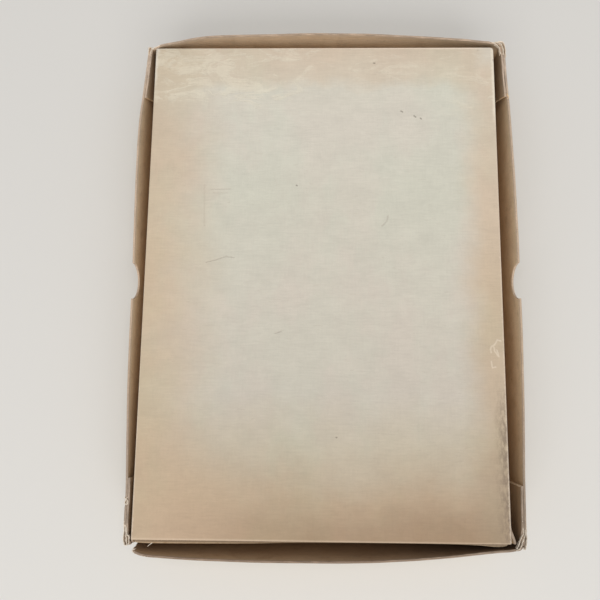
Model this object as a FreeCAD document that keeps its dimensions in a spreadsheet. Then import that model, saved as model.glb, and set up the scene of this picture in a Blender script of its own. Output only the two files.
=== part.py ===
import FreeCAD, Part
import os
import Sketcher

# Two-piece telescoping document box of scored board, standing on the face of its lid.
# The lid lies open side up and the tray is turned over inside it, panel up, level with the rim.
# Frame: origin at the middle of the lid's face where it rests, +Z up, +Y to the back short wall,
# +X to the right long wall. All sizes are in millimetres.

SIZES = {
    "board_thickness": 1.3,      # lined board of both blanks
    "tray_width": 218.0,         # outside of the tray across its long walls
    "tray_length": 305.0,        # outside of the tray across its short walls
    "side_clearance": 3.7,       # tray to lid, each side, at the corners
    "end_clearance": 0.9,        # tray to lid, each end, at the corners
    "tray_shift": -1.5,          # the tray has slid towards the left wall
    "lid_height": 46.0,          # underside of the lid's face to its rim
    "rest_gap": 0.3,             # tray rim above the lid's face
    "long_wall_bow": 4.6,        # outward bow of a long wall at the middle of its rim
    "short_wall_bow": 9.0,       # outward bow of a short wall at the middle of its rim
    "tab_length": 37.0,          # glue tab, from its fold to its cut end
    "notch_diameter": 22.0,      # half-round thumb notch in each long wall of the lid
    "fold_radius": 0.8,          # rounding of the board over a scored fold
    "cut_margin": 12.0,          # how far a cutting outline runs past what it cuts
}

# Sizes that follow from the ones above, kept in the sheet as formulas.
# An inner half size reaches to the inside face of a wall.
DERIVED = {
    "lid_inner_half_width": "tray_width / 2 + side_clearance",
    "lid_inner_half_length": "tray_length / 2 + end_clearance",
    "lid_half_width": "lid_inner_half_width + board_thickness",
    "lid_half_length": "lid_inner_half_length + board_thickness",
    "tray_half_width": "tray_width / 2",
    "tray_half_length": "tray_length / 2",
    "tray_inner_half_width": "tray_half_width - board_thickness",
    "tray_inner_half_length": "tray_half_length - board_thickness",
    "tray_foot": "board_thickness + rest_gap",
    "tray_panel_underside": "lid_height - board_thickness",
    "tray_wall_height": "tray_panel_underside - tray_foot",
    "tray_left_face": "tray_shift - tray_inner_half_width",
    "tray_right_face": "tray_shift + tray_inner_half_width",
    "long_wall_radius": "(lid_half_length ^ 2 + long_wall_bow ^ 2) / (2 * long_wall_bow)",
    "short_wall_radius": "(lid_inner_half_width ^ 2 + short_wall_bow ^ 2) / (2 * short_wall_bow)",
    "lid_tab_end": "lid_inner_half_length - tab_length",
    "tray_tab_end": "tray_inner_half_length - tab_length",
    "past_lid_end": "lid_half_length + cut_margin",
    "past_tab_inside": "board_thickness + cut_margin",
    "past_tab_outside": "long_wall_bow + cut_margin",
}

# Turn about +Z that points a wall's own +Y outward.
TURNS = {"back": 0.0, "left": 90.0, "front": 180.0, "right": -90.0}

doc = FreeCAD.newDocument("archival_box")
sheet = doc.addObject("Spreadsheet::Sheet", "sizes")


def fill_sheet():
    """Write each size and each formula in its own named cell."""
    contents = {name: str(number) for name, number in SIZES.items()}
    contents.update({name: "=" + formula for name, formula in DERIVED.items()})
    for row, (name, content) in enumerate(contents.items(), start=1):
        sheet.set("A%d" % row, name)
        sheet.set("B%d" % row, content)
        sheet.setAlias("B%d" % row, name)
    doc.recompute()


def value(name):
    """The number in a named cell; a leading minus turns its sign."""
    if name.startswith("-"):
        return -value(name[1:])
    return float(getattr(sheet, name))


def cell(name):
    """The expression that reads a named cell; a leading minus turns its sign."""
    if name.startswith("-"):
        return "-sizes." + name[1:]
    return "sizes." + name


def flip(name):
    """The same cell with its sign turned."""
    return name[1:] if name.startswith("-") else "-" + name


def new_body(label):
    body = doc.addObject("PartDesign::Body", label)
    body.Label = label
    return body


def sketch_on(body, name, role, height=None):
    """A sketch on one of the body's own planes, raised along the plane's normal by a cell."""
    plane = [item for item in body.Origin.OriginFeatures if item.Role == role][0]
    sketch = body.newObject("Sketcher::SketchObject", name)
    sketch.AttachmentSupport = [(plane, "")]
    sketch.MapMode = "FlatFace"
    if height:
        sketch.setExpression(".AttachmentOffset.Base.z", cell(height))
    return sketch


def hold_point(sketch, edge, end, x_name, y_name):
    """Hold the end of an edge at two cells; None holds that coordinate at nought."""
    for kind, name, axis in (("DistanceX", x_name, -2), ("DistanceY", y_name, -1)):
        if name is None:
            sketch.addConstraint(Sketcher.Constraint("PointOnObject", edge, end, axis))
            continue
        index = sketch.addConstraint(
            Sketcher.Constraint(kind, -1, 1, edge, end, value(name)))
        sketch.setExpression("Constraints[%d]" % index, cell(name))


def place(name):
    return 0.0 if name is None else value(name)


def rectangle(sketch, left, low, right, high):
    """A closed rectangle between four cells."""
    corners = [(left, low), (right, low), (right, high), (left, high)]
    points = [FreeCAD.Vector(place(x), place(y), 0) for x, y in corners]
    first = sketch.GeometryCount
    for index in range(4):
        sketch.addGeometry(Part.LineSegment(points[index], points[(index + 1) % 4]))
    for index in range(4):
        following = first + (index + 1) % 4
        sketch.addConstraint(Sketcher.Constraint("Coincident", first + index, 2, following, 1))
        hold_point(sketch, first + index, 1, *corners[index])


def bowed_strip(sketch, half_span, inner, outer, bow, radius):
    """A strip between two equal arcs that swell towards +Y by bow at mid-length."""
    ends = {}
    for line, low in (("inner", inner), ("outer", outer)):
        left = FreeCAD.Vector(-value(half_span), place(low), 0)
        middle = FreeCAD.Vector(0, place(low) + value(bow), 0)
        right = FreeCAD.Vector(value(half_span), place(low), 0)
        arc = sketch.addGeometry(Part.Arc(left, middle, right))
        starts_left = sketch.getPoint(arc, 1).x < 0
        ends[line] = {"arc": arc, "left": 1 if starts_left else 2, "right": 2 if starts_left else 1}
        hold_point(sketch, arc, ends[line]["left"], flip(half_span), low)
        hold_point(sketch, arc, ends[line]["right"], half_span, low)
        index = sketch.addConstraint(Sketcher.Constraint("Radius", arc, value(radius)))
        sketch.setExpression("Constraints[%d]" % index, cell(radius))
    for side in ("left", "right"):
        inner_end = (ends["inner"]["arc"], ends["inner"][side])
        outer_end = (ends["outer"]["arc"], ends["outer"][side])
        edge = sketch.addGeometry(
            Part.LineSegment(sketch.getPoint(*inner_end), sketch.getPoint(*outer_end)))
        sketch.addConstraint(Sketcher.Constraint("Coincident", edge, 1, *inner_end))
        sketch.addConstraint(Sketcher.Constraint("Coincident", edge, 2, *outer_end))


def stand(body, side, x_name=None, y_name=None):
    """Turn a wall's body to its side of the box and set it at its cells."""
    turn = FreeCAD.Rotation(FreeCAD.Vector(0, 0, 1), TURNS[side])
    body.Placement = FreeCAD.Placement(FreeCAD.Vector(0, 0, 0), turn)
    if x_name:
        body.setExpression(".Placement.Base.x", cell(x_name))
    if y_name:
        body.setExpression(".Placement.Base.y", cell(y_name))


def panel(label, half_width, half_length, underside, x_name, face_is_up):
    """A flat panel, rounded along the folds of its outer face."""
    body = new_body(label)
    outline = sketch_on(body, label + "_outline", "XY_Plane", underside)
    rectangle(outline, flip(half_width), flip(half_length), half_width, half_length)
    pad = body.newObject("PartDesign::Pad", label + "_board")
    pad.Profile = outline
    pad.setExpression("Length", cell("board_thickness"))
    doc.recompute()
    box = pad.Shape.BoundBox
    face_level = box.ZMax if face_is_up else box.ZMin
    folds = []
    for index, edge in enumerate(pad.Shape.Edges, start=1):
        bounds = edge.BoundBox
        if abs(bounds.ZMin - face_level) < 0.01 and abs(bounds.ZMax - face_level) < 0.01:
            folds.append("Edge%d" % index)
    rounding = body.newObject("PartDesign::Fillet", label + "_folds")
    rounding.Base = (pad, folds)
    rounding.setExpression("Radius", cell("fold_radius"))
    body.Tip = rounding
    if x_name:
        body.setExpression(".Placement.Base.x", cell(x_name))
    return body


def bowed_board(body, half_span, inner, outer, bow, radius):
    """Board that is straight along its fold and swells outward to its rim."""
    fold = sketch_on(body, body.Label + "_fold", "XY_Plane", "board_thickness")
    rectangle(fold, flip(half_span), inner, half_span, outer)
    rim = sketch_on(body, body.Label + "_rim", "XY_Plane", "lid_height")
    bowed_strip(rim, half_span, inner, outer, bow, radius)
    doc.recompute()
    loft = body.newObject("PartDesign::AdditiveLoft", body.Label + "_board")
    loft.Profile = fold
    loft.Sections = [rim]
    loft.Ruled = True
    body.Tip = loft
    return loft


def cut_through(body, sketch, name):
    """Cut a sketched outline right through the body, both ways."""
    cut = body.newObject("PartDesign::Pocket", name)
    cut.Profile = sketch
    cut.Type = "ThroughAll"
    cut.Midplane = True
    body.Tip = cut
    return cut


def lid_long_wall(label, side, x_name):
    """A long wall of the lid with a half-round thumb notch in its rim."""
    body = new_body(label)
    stand(body, side, x_name=x_name)
    bowed_board(body, "lid_half_length", None, "board_thickness", "long_wall_bow",
                "long_wall_radius")
    outline = sketch_on(body, label + "_notch_outline", "XZ_Plane")
    circle = outline.addGeometry(
        Part.Circle(FreeCAD.Vector(0, value("lid_height"), 0), FreeCAD.Vector(0, 0, 1),
                    value("notch_diameter") / 2))
    hold_point(outline, circle, 3, None, "lid_height")
    index = outline.addConstraint(
        Sketcher.Constraint("Diameter", circle, value("notch_diameter")))
    outline.setExpression("Constraints[%d]" % index, cell("notch_diameter"))
    cut_through(body, outline, label + "_notch")
    return body


def lid_short_wall(label, side, y_name):
    """A short wall of the lid, held between the two long walls."""
    body = new_body(label)
    stand(body, side, y_name=y_name)
    bowed_board(body, "lid_inner_half_width", None, "board_thickness", "short_wall_bow",
                "short_wall_radius")
    return body


def lid_tab(label, side, x_name, at_far_end):
    """A glue tab that lies against the inside of a long wall, next to a corner."""
    body = new_body(label)
    stand(body, side, x_name=x_name)
    bowed_board(body, "lid_half_length", "-board_thickness", None, "long_wall_bow",
                "long_wall_radius")
    trim = sketch_on(body, label + "_trim_outline", "XY_Plane")
    corner, past_corner = "lid_inner_half_length", "past_lid_end"
    cut_end, past_cut_end = "lid_tab_end", "-past_lid_end"
    if at_far_end:
        spans = [(past_cut_end, cut_end), (corner, past_corner)]
    else:
        spans = [(flip(past_corner), flip(corner)), (flip(cut_end), flip(past_cut_end))]
    for left, right in spans:
        rectangle(trim, left, "-past_tab_inside", right, "past_tab_outside")
    cut_through(body, trim, label + "_trim")
    return body


def tray_board(label, side, x_name, y_name, left, low, right, high):
    """An upright straight board of the tray with the given plan outline."""
    body = new_body(label)
    stand(body, side, x_name, y_name)
    outline = sketch_on(body, label + "_outline", "XY_Plane", "tray_foot")
    rectangle(outline, left, low, right, high)
    pad = body.newObject("PartDesign::Pad", label + "_board")
    pad.Profile = outline
    pad.setExpression("Length", cell("tray_wall_height"))
    body.Tip = pad
    return body


def build_lid():
    bodies = [panel("lid_panel", "lid_half_width", "lid_half_length", None, None, False)]
    for side, x_name in (("left", "-lid_inner_half_width"), ("right", "lid_inner_half_width")):
        bodies.append(lid_long_wall("lid_%s_wall" % side, side, x_name))
        for end in ("front", "back"):
            # A left wall runs towards the back and a right wall towards the front.
            at_far_end = (end == "back") == (side == "left")
            bodies.append(lid_tab("lid_%s_%s_tab" % (end, side), side, x_name, at_far_end))
    for side, y_name in (("front", "-lid_inner_half_length"), ("back", "lid_inner_half_length")):
        bodies.append(lid_short_wall("lid_%s_wall" % side, side, y_name))
    return bodies


def build_tray():
    board = "board_thickness"
    bodies = [panel("tray_panel", "tray_half_width", "tray_half_length", "tray_panel_underside",
                    "tray_shift", True)]
    for side, x_name in (("left", "tray_left_face"), ("right", "tray_right_face")):
        bodies.append(tray_board("tray_%s_wall" % side, side, x_name, None,
                                 "-tray_half_length", None, "tray_half_length", board))
        for end in ("front", "back"):
            at_far_end = (end == "back") == (side == "left")
            left, right = "tray_tab_end", "tray_inner_half_length"
            if not at_far_end:
                left, right = flip(right), flip(left)
            bodies.append(tray_board("tray_%s_%s_tab" % (end, side), side, x_name, None,
                                     left, flip(board), right, None))
    for side, y_name in (("front", "-tray_inner_half_length"), ("back", "tray_inner_half_length")):
        bodies.append(tray_board("tray_%s_wall" % side, side, "tray_shift", y_name,
                                 "-tray_inner_half_width", None, "tray_inner_half_width", board))
    return bodies


def check_and_write(bodies):
    """Stop on any failed feature or empty shape, then write one file for each body."""
    for item in doc.Objects:
        if "Invalid" in item.State or "Error" in item.State:
            raise RuntimeError("%s did not build: %s" % (item.Label, item.State))
    os.makedirs("parts", exist_ok=True)
    for body in bodies:
        shape = body.Shape
        if shape.isNull() or not shape.isValid() or len(shape.Solids) != 1:
            raise RuntimeError("%s is not one good solid" % body.Label)
        shape.exportStep("parts/%s.step" % body.Label)


fill_sheet()
all_bodies = build_lid() + build_tray()
doc.recompute()
check_and_write(all_bodies)
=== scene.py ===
import math
from bisect import bisect_right

import bpy
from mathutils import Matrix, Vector, noise


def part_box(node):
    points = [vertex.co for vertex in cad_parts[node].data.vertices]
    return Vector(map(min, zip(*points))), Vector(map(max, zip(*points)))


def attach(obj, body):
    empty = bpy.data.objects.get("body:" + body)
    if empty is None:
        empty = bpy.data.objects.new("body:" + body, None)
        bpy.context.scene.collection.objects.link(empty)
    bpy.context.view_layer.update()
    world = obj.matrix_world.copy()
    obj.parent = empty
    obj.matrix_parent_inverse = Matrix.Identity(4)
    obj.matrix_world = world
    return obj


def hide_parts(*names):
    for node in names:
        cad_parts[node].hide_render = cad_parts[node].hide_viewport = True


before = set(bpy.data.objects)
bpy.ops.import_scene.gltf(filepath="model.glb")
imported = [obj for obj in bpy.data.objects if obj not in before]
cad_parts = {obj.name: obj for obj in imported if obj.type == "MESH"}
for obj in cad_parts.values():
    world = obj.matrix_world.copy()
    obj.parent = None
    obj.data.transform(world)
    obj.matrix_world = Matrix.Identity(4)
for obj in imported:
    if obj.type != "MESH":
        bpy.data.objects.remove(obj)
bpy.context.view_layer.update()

# The looks of a two-piece document box of scored board: an open lid lying on its face, with bowed
# and worn walls, and the tray turned over inside it. Shapes are worked in millimetres in the row
# frame and written to the meshes in metres.

MM = 0.001
lid_low, lid_high = (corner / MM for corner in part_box("lid_panel"))
tray_low, tray_high = (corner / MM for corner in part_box("tray_panel"))
side_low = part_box("tray_left_wall")[0] / MM

BOARD = lid_high.z - lid_low.z       # thickness of the board of both blanks
RIM = tray_high.z                    # height of the lid's rim and of the tray's upper face
LID_X = lid_high.x                   # fold lines of the lid's long walls
LID_Y = lid_high.y                   # fold lines of the lid's short walls
LID_WALL = RIM - BOARD               # height of a lid wall above its fold
TRAY_X = (tray_low.x + tray_high.x) / 2
TRAY_HALF_X = (tray_high.x - tray_low.x) / 2
TRAY_HALF_Y = tray_high.y
TRAY_TOP = tray_low.z                # underside of the tray's panel, where its walls begin
TRAY_WALL = TRAY_TOP - side_low.z
NOTCH = 11.0                         # radius of a thumb notch
GLUE = 0.06                          # line of glue between a tab and its wall

# How far each rim has bowed out past its own fold line: (place along the wall, bow).
LEFT_RIM = [(-155, 0.0), (-150, 0.9), (-135, 1.1), (-124, 1.0), (-100, 1.8), (-72, 2.8),
            (-40, 3.4), (0, 3.7), (25, 4.0), (60, 4.5), (85, 4.5), (106, 3.8), (118, 2.8),
            (132, 1.7), (145, 0.9), (155, 0.3)]
RIGHT_RIM = [(-155, 0.6), (-143, 1.3), (-127, 1.7), (-99, 2.5), (-70, 3.4), (-30, 3.9),
             (10, 3.9), (50, 3.5), (84, 2.6), (107, 1.9), (118, 1.3), (130, 0.5), (144, 0.1),
             (156, -0.6)]
BACK_RIM = [(-112, -3.0), (-106, -0.6), (-100, 0.7), (-94, 1.9), (-86, 3.8), (-75, 5.4),
            (-60, 6.1), (-30, 7.0), (5, 7.4), (35, 6.8), (60, 5.4), (86, 3.8), (104, 1.9),
            (111, 1.6)]
FRONT_RIM = [(-110, 2.9), (-107, 5.0), (-101, 6.4), (-92, 7.0), (-70, 8.0), (-45, 8.6),
             (-13, 8.7), (10, 8.4), (32, 7.7), (55, 6.2), (72, 4.6), (89, 2.6), (100, 1.3),
             (108, 0.7), (112, 0.3)]
# How far the wall of the tray swells out under its front fold: (place along the fold, swell).
TRAY_FRONT_SWELL = [(-109, 1.9), (-104, 2.3), (-98, 2.45), (-82, 2.4), (-55, 2.1), (-36, 1.8),
                    (-21, 1.3), (2, 1.0), (25, 0.8), (71, 0.8), (91, 1.3), (101, 2.2), (105, 1.9),
                    (109, 0.5)]
# How far each corner of the tray is out of square, by the signs of its x and y.
OUT_OF_SQUARE = {(-1, 1): (1.1, -1.2), (1, 1): (-0.95, 0.0), (-1, -1): (0.0, 0.7),
                 (1, -1): (-0.7, 1.1)}
RACK_LEFT = -0.9                     # the rims have racked along the long walls
RACK_RIGHT = 1.2
# Where the lid's rim has been crushed: place in plan, reach and drop.
CRUSHED = [(113.0, -151.0, 9.0, 1.5), (111.5, 154.5, 8.0, 1.5), (-112.5, 151.5, 6.0, 1.3),
           (-113.0, -152.0, 9.0, 1.5), (-114.3, -130.3, 3.4, 1.1), (115.0, 119.4, 2.6, 0.8)]

EDGE_STEPS = [0.0, 0.1, 0.25, 0.5, 0.9, 1.6]     # fine rows next to a cut edge
SOFT_EDGE = 0.5                      # width over which a cut edge is rounded off
FLAT_SHARE = 0.75                    # share of the thickness left flat on a cut edge


# ---------------------------------------------------------------- shape helpers

def along(points, at):
    """Height of the smooth line through given (place, height) points."""
    places = [place for place, height in points]
    last = len(points) - 1
    if at <= places[0]:
        return points[0][1]
    if at >= places[last]:
        return points[last][1]
    index = bisect_right(places, at) - 1
    span = places[index + 1] - places[index]
    share = (at - places[index]) / span
    slopes = []
    for knot in (index, index + 1):
        before, after = max(knot - 1, 0), min(knot + 1, last)
        rise = points[after][1] - points[before][1]
        slopes.append(span * rise / (places[after] - places[before]))
    square, cube = share ** 2, share ** 3
    return ((2 * cube - 3 * square + 1) * points[index][1]
            + (cube - 2 * square + share) * slopes[0]
            + (3 * square - 2 * cube) * points[index + 1][1]
            + (cube - square) * slopes[1])


def blend_between(low, high, share):
    return low + (high - low) * share


def ease(value, start, stop):
    """0 before start, 1 after stop, and smooth between them."""
    share = min(max((value - start) / (stop - start), 0.0), 1.0)
    return share * share * (3 - 2 * share)


def out_of_square(x, y):
    """A point of the tray's plan, moved as its worn blank has been pushed out of square."""
    across = (x - TRAY_X) / TRAY_HALF_X
    along_side = y / TRAY_HALF_Y
    moved = Vector((x, y))
    for (side, end), shift in OUT_OF_SQUARE.items():
        share = max(1 + side * across, 0) * max(1 + end * along_side, 0) / 4
        moved += Vector(shift) * share
    return moved.x, moved.y


def ripple(place, seed, pitch):
    """Smooth unevenness between about -1 and 1 along a line, with the given pitch."""
    return 2 * noise.noise(Vector((place / pitch, seed * 7.31, seed * 1.7)))


def steps(start, stop, pitch):
    """Places from start to stop, close together next to both ends and a pitch apart between."""
    run = abs(stop - start)
    way = 1 if stop > start else -1
    near = [step for step in EDGE_STEPS if step < run / 2]
    middle = max(int((run - 2 * near[-1]) / pitch), 1)
    gap = (run - 2 * near[-1]) / middle
    inner = [near[-1] + gap * count for count in range(1, middle)]
    distances = near + inner + [run - step for step in reversed(near)]
    return [start + way * distance for distance in distances]


def cut_edge(distance):
    """Share of the full thickness at a distance inside a softened cut edge."""
    share = min(max(distance / SOFT_EDGE, 0.0), 1.0)
    return FLAT_SHARE + (1 - FLAT_SHARE) * math.sqrt(1 - (1 - share) ** 2)


def start_piece():
    bpy.ops.object.select_all(action="DESELECT")


def apply_modifiers(piece):
    for modifier in list(piece.modifiers):
        bpy.ops.object.modifier_apply(modifier=modifier.name)


def finish_piece(piece, body, nodes, smooth_angle=38):
    """Set a piece's shading and hang it on its body."""
    bpy.ops.object.shade_smooth_by_angle(angle=math.radians(smooth_angle))
    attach(piece, body)
    if nodes:
        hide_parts(*nodes)
    return piece


# Finish of the outer face, the inner face and the edge of a sheet's plain, rim and worn parts.
# While Solidify is applied, the plain faces, the rim's rows and the worn columns each have three
# slots, for the outer face, the inner face and the cut edge. PART_FINISH gives each its finish.
PART_FINISH = (0, 1, 2, 2, 2, 2, 3, 3, 3)
RIM_PART, WORN_PART = 3, 6


def sheet_of_board(name, stations, depths, place, fullness, materials, thickness=None,
                   rim_rows=0, worn_start=0, worn_stop=0):
    """A sheet of board with a softened edge.

    place(station, depth) is its middle surface in millimetres and fullness(station, depth) its
    share of the full thickness. The first finish is the outer face's, the second the inner
    face's, the third that of the cut edge and of the rim's rows, and the fourth that of the worn
    columns at either end.
    """
    start_piece()
    bpy.ops.mesh.primitive_grid_add(
        x_subdivisions=len(stations) - 1, y_subdivisions=len(depths) - 1, size=1)
    piece = bpy.context.object
    piece.name = name
    for _ in PART_FINISH:
        piece.data.materials.append(None)
    group = piece.vertex_groups.new(name="fullness")
    for index, vertex in enumerate(piece.data.vertices):
        row, column = divmod(index, len(stations))
        vertex.co = Vector(place(stations[column], depths[row])) * MM
        group.add([index], fullness(stations[column], depths[row]), "REPLACE")
    for face in piece.data.polygons:
        row, column = divmod(min(face.vertices), len(stations))
        if row < rim_rows:
            face.material_index = RIM_PART
        elif column < worn_start or column >= len(stations) - 1 - worn_stop:
            face.material_index = WORN_PART
    solid = piece.modifiers.new("thickness", "SOLIDIFY")
    solid.thickness = (thickness or BOARD) * MM
    solid.offset = 0
    solid.vertex_group = "fullness"
    solid.material_offset = 1
    solid.material_offset_rim = 2
    apply_modifiers(piece)
    finishes = [PART_FINISH[face.material_index] for face in piece.data.polygons]
    piece.data.materials.clear()
    for material in materials:
        piece.data.materials.append(material)
    for face, finish in zip(piece.data.polygons, finishes):
        face.material_index = finish
    return piece


# ---------------------------------------------------------------- shader helpers

def node(tree, kind, inputs=None, **settings):
    """Add a node, set its options, and set or link its inputs."""
    made = tree.nodes.new(kind)
    for key, setting in settings.items():
        setattr(made, key, setting)
    for key, value in (inputs or {}).items():
        if isinstance(value, bpy.types.NodeSocket):
            tree.links.new(value, made.inputs[key])
        else:
            made.inputs[key].default_value = value
    return made


def calc(tree, operation, first, second=0.0, third=0.0, clamp=False):
    made = node(tree, "ShaderNodeMath", {0: first, 1: second, 2: third},
                operation=operation, use_clamp=clamp)
    return made.outputs[0]


def times(tree, first, second, clamp=False):
    return calc(tree, "MULTIPLY", first, second, clamp=clamp)


def times_plus(tree, first, second, third):
    return calc(tree, "MULTIPLY_ADD", first, second, third)


def plus(tree, first, second):
    return calc(tree, "ADD", first, second)


def minus(tree, first, second, clamp=False):
    return calc(tree, "SUBTRACT", first, second, clamp=clamp)


def fade(tree, value, start, stop, low=0.0, high=1.0):
    """Smooth step of a value from low at start to high at stop."""
    made = node(tree, "ShaderNodeMapRange",
                {"Value": value, "From Min": start, "From Max": stop,
                 "To Min": low, "To Max": high},
                interpolation_type="SMOOTHSTEP")
    return made.outputs["Result"]


def cloud(tree, where, scale, detail=3.0, roughness=0.55, distortion=0.0):
    made = node(tree, "ShaderNodeTexNoise",
                {"Vector": where, "Scale": scale, "Detail": detail, "Roughness": roughness,
                 "Distortion": distortion})
    return made.outputs["Fac"]


def tint(tree, share, under, over, blend_type="MIX"):
    """Lay one colour over another by a share."""
    made = node(tree, "ShaderNodeMix", {0: share, 6: under, 7: over},
                data_type="RGBA", blend_type=blend_type)
    return made.outputs[2]


def glaze(tree, colour, over):
    """A colour multiplied by another, as under a glaze."""
    return tint(tree, 1.0, colour, over, "MULTIPLY")


def stain(tree, colour, mask, strength, mark):
    """Lay a mark's colour over another where its mask is, at a strength."""
    return tint(tree, times(tree, mask, strength), colour, mark)


def stretch(tree, where, scale=(1, 1, 1), shift=(0, 0, 0)):
    """Scale and move a pattern's coordinates."""
    made = node(tree, "ShaderNodeMapping", {"Vector": where, "Location": shift, "Scale": scale})
    return made.outputs["Vector"]


def new_group(name, inputs, outputs):
    """A node group with named sockets; returns the tree, its inputs and its output node."""
    tree = bpy.data.node_groups.new(name, "ShaderNodeTree")
    for socket, kind in inputs:
        tree.interface.new_socket(name=socket, in_out="INPUT", socket_type=kind)
    for socket, kind in outputs:
        tree.interface.new_socket(name=socket, in_out="OUTPUT", socket_type=kind)
    entry = tree.nodes.new("NodeGroupInput")
    leave = tree.nodes.new("NodeGroupOutput")
    return tree, entry.outputs, leave


def use_group(tree, group, inputs):
    made = tree.nodes.new("ShaderNodeGroup")
    made.node_tree = group
    for key, value in inputs.items():
        if isinstance(value, bpy.types.NodeSocket):
            tree.links.new(value, made.inputs[key])
        else:
            made.inputs[key].default_value = value
    return made.outputs


NUMBER, VECTOR = "NodeSocketFloat", "NodeSocketVector"
WHITE = (1, 1, 1, 1)


def make_fibre_group():
    """Felted and calendered paper: crossed fibres, fine horizontal wrinkles and slow clouds."""
    tree, given, leave = new_group(
        "paper_fibre", [("Place", VECTOR), ("Coarseness", NUMBER)],
        [("Tone", NUMBER), ("Height", NUMBER), ("Wrinkle", NUMBER)])
    place = given["Place"]
    fine = cloud(tree, place, 2.4, 4.0, 0.7)
    lying = cloud(tree, stretch(tree, place, (0.11, 1.0, 1.0)), 1.0, 4.0, 0.62, 0.5)
    standing = cloud(tree, stretch(tree, place, (0.9, 0.12, 1.0), shift=(7, 3, 0)), 1.0, 3.0, 0.6)
    slow = cloud(tree, place, 0.07, 4.0, 0.6)
    tone = times_plus(tree, standing, 0.5, lying)
    tone = times_plus(tree, slow, 0.7, tone)
    tone = times_plus(tree, fine, 0.5, tone)
    height = times_plus(tree, fine, given["Coarseness"], lying)
    height = times_plus(tree, standing, 0.5, height)
    tree.links.new(calc(tree, "DIVIDE", tone, 2.7), leave.inputs["Tone"])
    tree.links.new(height, leave.inputs["Height"])
    sparse = fade(tree, cloud(tree, place, 0.05, 3.0, 0.6), 0.42, 0.6)
    wrinkle = times(tree, fade(tree, lying, 0.6, 0.72), sparse)
    tree.links.new(wrinkle, leave.inputs["Wrinkle"])
    return tree


def make_peel_group():
    """Patches where the surface of the paper has been skinned off, and their curled rims."""
    tree, given, leave = new_group(
        "skinned_patches", [("Place", VECTOR), ("Zone", NUMBER)],
        [("Mask", NUMBER), ("Curl", NUMBER)])
    place = given["Place"]
    broad = cloud(tree, stretch(tree, place, (0.045, 0.1, 0.1)), 1.0, 5.0, 0.6, 1.3)
    ragged = cloud(tree, stretch(tree, place, (0.25, 0.6, 0.5)), 1.0, 4.0, 0.65, 0.6)
    level = times_plus(tree, ragged, 0.22, broad)
    level = times_plus(tree, minus(tree, given["Zone"], 1.0), 0.22, level)
    mask = fade(tree, level, 0.575, 0.70)
    inner = fade(tree, level, 0.615, 0.70)
    curl = minus(tree, mask, inner, clamp=True)
    tree.links.new(times(tree, mask, given["Zone"], clamp=True), leave.inputs["Mask"])
    tree.links.new(times(tree, curl, given["Zone"], clamp=True), leave.inputs["Curl"])
    return tree


def make_scuff_group():
    """Rubbed places: broken streaks where the surface has been abraded."""
    tree, given, leave = new_group(
        "rubbed_scuffs", [("Place", VECTOR), ("Amount", NUMBER)], [("Mask", NUMBER)])
    place = given["Place"]
    streak = cloud(tree, stretch(tree, place, (0.05, 0.42, 0.3)), 1.0, 5.0, 0.62, 0.4)
    patch = cloud(tree, stretch(tree, place, (0.03, 0.05, 0.05)), 1.0, 3.0, 0.6, 0.8)
    crumbs = cloud(tree, place, 0.9, 4.0, 0.7)
    sum_one = times_plus(tree, patch, 0.8, streak)
    sum_two = times_plus(tree, crumbs, 0.35, sum_one)
    level = minus(tree, 1.45, times(tree, given["Amount"], 0.45))
    mask = times(tree, minus(tree, sum_two, level), 5.0, clamp=True)
    tree.links.new(mask, leave.inputs["Mask"])
    return tree


def make_fine_line_group():
    """A thin, slightly wandering mark between two points on a flat face."""
    tree, given, leave = new_group(
        "fine_line",
        [("Place", VECTOR), ("From", VECTOR), ("To", VECTOR), ("Width", NUMBER)],
        [("Mask", NUMBER)])
    flat = node(tree, "ShaderNodeVectorMath", {0: given["Place"], 1: (1, 1, 0)},
                operation="MULTIPLY").outputs[0]
    run = node(tree, "ShaderNodeVectorMath", {0: given["To"], 1: given["From"]},
               operation="SUBTRACT").outputs[0]
    offset = node(tree, "ShaderNodeVectorMath", {0: flat, 1: given["From"]},
                  operation="SUBTRACT").outputs[0]
    dot = node(tree, "ShaderNodeVectorMath", {0: offset, 1: run},
               operation="DOT_PRODUCT").outputs["Value"]
    square = node(tree, "ShaderNodeVectorMath", {0: run, 1: run},
                  operation="DOT_PRODUCT").outputs["Value"]
    share = calc(tree, "DIVIDE", dot, square, clamp=True)
    nearest = node(tree, "ShaderNodeVectorMath", {0: run, "Scale": share},
                   operation="SCALE").outputs[0]
    away = node(tree, "ShaderNodeVectorMath", {0: offset, 1: nearest},
                operation="DISTANCE").outputs["Value"]
    ragged = times(tree, minus(tree, cloud(tree, given["Place"], 1.2, 3.0, 0.6), 0.5), 0.9)
    closeness = calc(tree, "DIVIDE", plus(tree, away, ragged), given["Width"], clamp=True)
    tree.links.new(fade(tree, closeness, 1.0, 0.25), leave.inputs["Mask"])
    return tree


def by_tone(tree, fibre, low, high):
    """A value that follows the tone of the fibres from low to high."""
    return fade(tree, fibre["Tone"], 0.36, 0.64, low, high)


FIBRE = make_fibre_group()
PEEL = make_peel_group()
SCUFF = make_scuff_group()
FINE_LINE = make_fine_line_group()


def new_material(name, roughness=0.85):
    """A material with its shader, and object coordinates in millimetres."""
    material = bpy.data.materials.new(name)
    material.use_nodes = True
    tree = material.node_tree
    tree.nodes.clear()
    shader = tree.nodes.new("ShaderNodeBsdfPrincipled")
    leave = tree.nodes.new("ShaderNodeOutputMaterial")
    tree.links.new(shader.outputs[0], leave.inputs["Surface"])
    shader.inputs["Roughness"].default_value = roughness
    shader.inputs["Specular IOR Level"].default_value = 0.25
    coordinates = tree.nodes.new("ShaderNodeTexCoord").outputs["Object"]
    place = node(tree, "ShaderNodeVectorMath", {0: coordinates, "Scale": 1 / MM},
                 operation="SCALE").outputs[0]
    return material, tree, shader, place


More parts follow.
